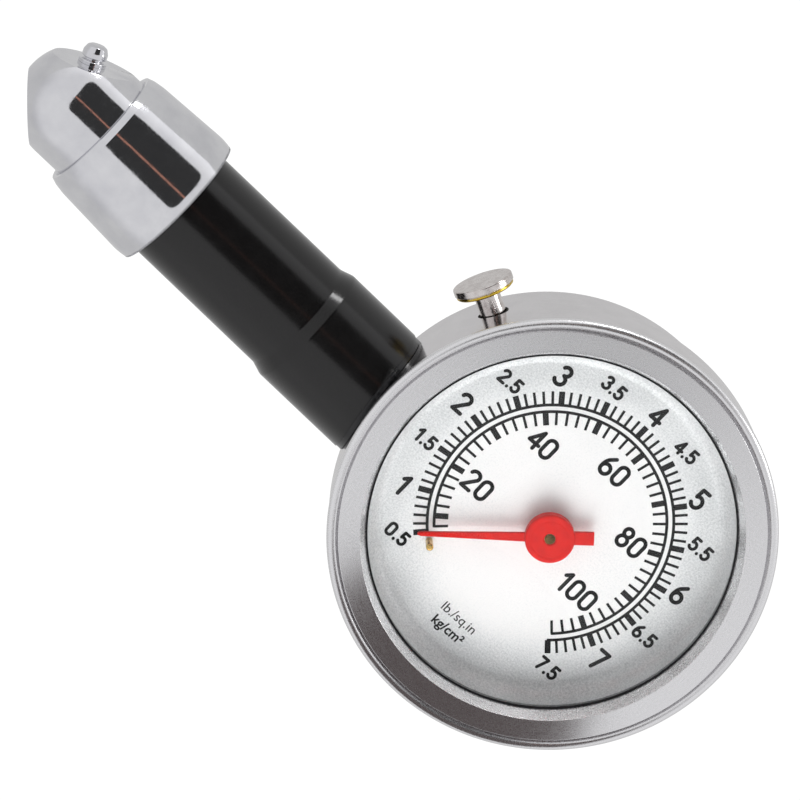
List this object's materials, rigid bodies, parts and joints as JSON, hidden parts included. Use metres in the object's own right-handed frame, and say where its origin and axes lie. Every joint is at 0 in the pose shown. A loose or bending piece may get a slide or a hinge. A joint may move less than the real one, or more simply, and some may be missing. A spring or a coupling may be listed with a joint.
{
  "type": "tire pressure gauge",
  "caption": "Dial tyre pressure gauge: round metal case with stepped back, red pointer, push-button release, rubber-sleeved neck and ball-ended chuck with an angled valve inlet.",
  "frame": {"origin": "centre of the case's flat back face, with the gauge lying on its back", "axes": "+Z points out of the dial, the neck and chuck run towards -X, and +Y is the top of the dial as its numerals read"},
  "size_m": [0.1016, 0.05, 0.022],
  "materials": {
    "case_metal": "bright nickel plate over a drawn steel shell",
    "bezel_metal": "bright plate over fine turning lines",
    "crystal_clear": "clear",
    "black_rubber": "matte moulded",
    "white_plastic": "satin",
    "dial_white": "silvery white enamel with printed marks",
    "brass": "machined",
    "pointer_red": "satin red",
    "spring_steel": "drawn wire",
    "screw_steel": "zinc plated",
    "bronze": "phosphor bronze",
    "nickel": "nickel plate worn to brass at the edges",
    "dark_metal": "blackened",
    "sleeve_rubber": "smooth semi-gloss",
    "chrome": "polished chrome plate"
  },
  "bodies": {
    "body": {"case": "case_metal", "bezel": "bezel_metal", "crystal": "crystal_clear", "crystal_gasket": "black_rubber", "dial_ring": "white_plastic", "dial": "dial_white", "dial_seat": "white_plastic", "stop_pin": "brass", "hairspring": "spring_steel", "bottom_plate": "brass", "top_plate": "brass", "pillars": "brass", "plate_screws": "screw_steel", "foot_screws": "screw_steel", "bourdon_tube": "bronze", "tube_tip": "brass", "socket_block": "brass", "valve_body": "brass", "valve_seat": "black_rubber", "button_seal": "black_rubber", "neck_boss": "dark_metal", "stem_tube": "brass", "rubber_sleeve": "sleeve_rubber", "collar": "chrome", "chuck_head": "chrome", "inlet_gasket": "black_rubber", "depressor_pin": "brass", "deflator_pin": "nickel", "check_seat": "black_rubber"},
    "pointer": {"pointer": "pointer_red", "pointer_arbor": "brass"},
    "sector": {"sector_gear": "brass", "sector_arbor": "screw_steel", "link_pin": "screw_steel"},
    "link": {"link_rod": "brass"},
    "button": {"release_button": "nickel", "valve_disc": "black_rubber", "valve_spring": "spring_steel"},
    "poppet": {"check_poppet": "brass", "check_spring": "spring_steel"}
  },
  "joints": [
    {"name": "sector_pivot", "type": "hinge", "parent": "body", "child": "sector", "pos_m": [0.00409, -0.01394, 0.0119], "axis": [0, 0, 1], "range_deg": [0, 33.5], "stiffness_Nm_per_rad": 0.002},
    {"name": "pointer_spin", "type": "hinge", "parent": "body", "child": "pointer", "pos_m": [0.0006, -0.0009, 0.0179], "axis": [0, 0, -1], "range_deg": [0, 268]},
    {"name": "link_pivot", "type": "hinge", "parent": "sector", "child": "link", "pos_m": [0.00397, -0.01794, 0.0129], "axis": [0, 0, 1], "range_deg": [-33.5, 0]},
    {"name": "button_press", "type": "slide", "parent": "body", "child": "button", "axis": [0.8829, -0.4695, 0], "range_m": [0, 0.0016], "stiffness_N_per_m": 3000, "springref_m": -0.0003},
    {"name": "poppet_slide", "type": "slide", "parent": "body", "child": "poppet", "axis": [0.9993, -0.0366, 0], "range_m": [0, 0.0008], "stiffness_N_per_m": 300, "springref_m": -0.0002}
  ],
  "couplings": [
    {"joint": "pointer_spin", "follows": "sector_pivot", "ratio": 8},
    {"joint": "link_pivot", "follows": "sector_pivot", "ratio": -1}
  ]
}
